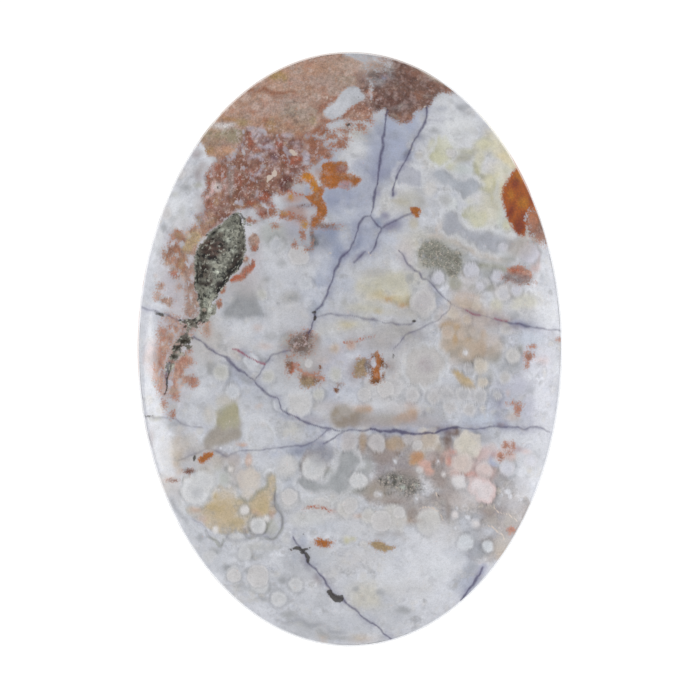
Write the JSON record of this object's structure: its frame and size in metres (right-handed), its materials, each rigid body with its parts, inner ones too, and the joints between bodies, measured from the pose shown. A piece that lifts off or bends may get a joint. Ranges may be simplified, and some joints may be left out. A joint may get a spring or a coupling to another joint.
{
  "type": "oval cabochon",
  "caption": "Oval polished cabochon of milky orb-spotted chalcedony with rust patches, dark veins and small crystal pits; domed face, thin girdle, flat back.",
  "frame": {"origin": "centre of the flat back, which the stone lies on", "axes": "+Z out of the domed face, +Y along the oval's long axis"},
  "size_m": [0.03, 0.042, 0.0056],
  "materials": {
    "polished_stone": "polished"
  },
  "bodies": {
    "root": {"cabochon": "polished_stone"}
  },
  "joints": []
}
